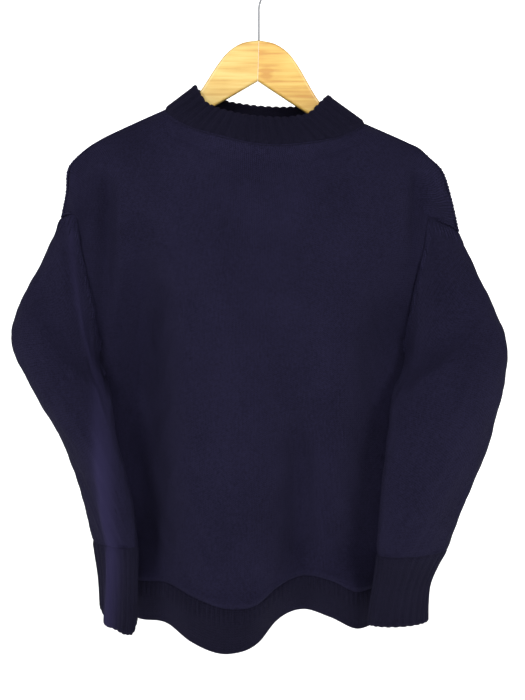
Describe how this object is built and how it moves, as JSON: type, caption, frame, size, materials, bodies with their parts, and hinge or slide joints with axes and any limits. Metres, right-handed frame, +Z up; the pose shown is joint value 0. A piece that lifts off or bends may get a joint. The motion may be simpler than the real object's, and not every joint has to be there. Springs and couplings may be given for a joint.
{
  "type": "fisherman sweater on hanger",
  "caption": "Navy fisherman sweater hanging on a flat wooden hanger, with dropped shoulders, open neckband, cuffs and hem welt.",
  "frame": {"origin": "inner top of the hook, where a rail carries it", "axes": "+X to the right as seen from the front, +Y to the back, +Z up along the hook's stem"},
  "size_m": [0.6163, 0.1851, 0.8441],
  "materials": {
    "plain_knit": "matte worsted wool, plain knitting",
    "welt_knit": "matte worsted wool, firm welt knitting",
    "ribbed_knit": "matte worsted wool, ribbed knitting",
    "pale_wood": "lightly varnished pale wood",
    "orange_wood": "lightly varnished orange-toned wood",
    "steel_wire": "dull grey steel wire"
  },
  "bodies": {
    "root": {"body_front": "plain_knit", "body_back": "plain_knit", "sleeve_left_upper": "plain_knit", "sleeve_left_lower": "plain_knit", "sleeve_right_upper": "plain_knit", "sleeve_right_lower": "plain_knit", "welt_front": "welt_knit", "welt_back": "welt_knit", "neckband": "ribbed_knit", "cuff_left": "ribbed_knit", "cuff_right": "ribbed_knit", "hanger_left_half": "pale_wood", "hanger_right_half": "orange_wood", "hook": "steel_wire"}
  },
  "joints": []
}
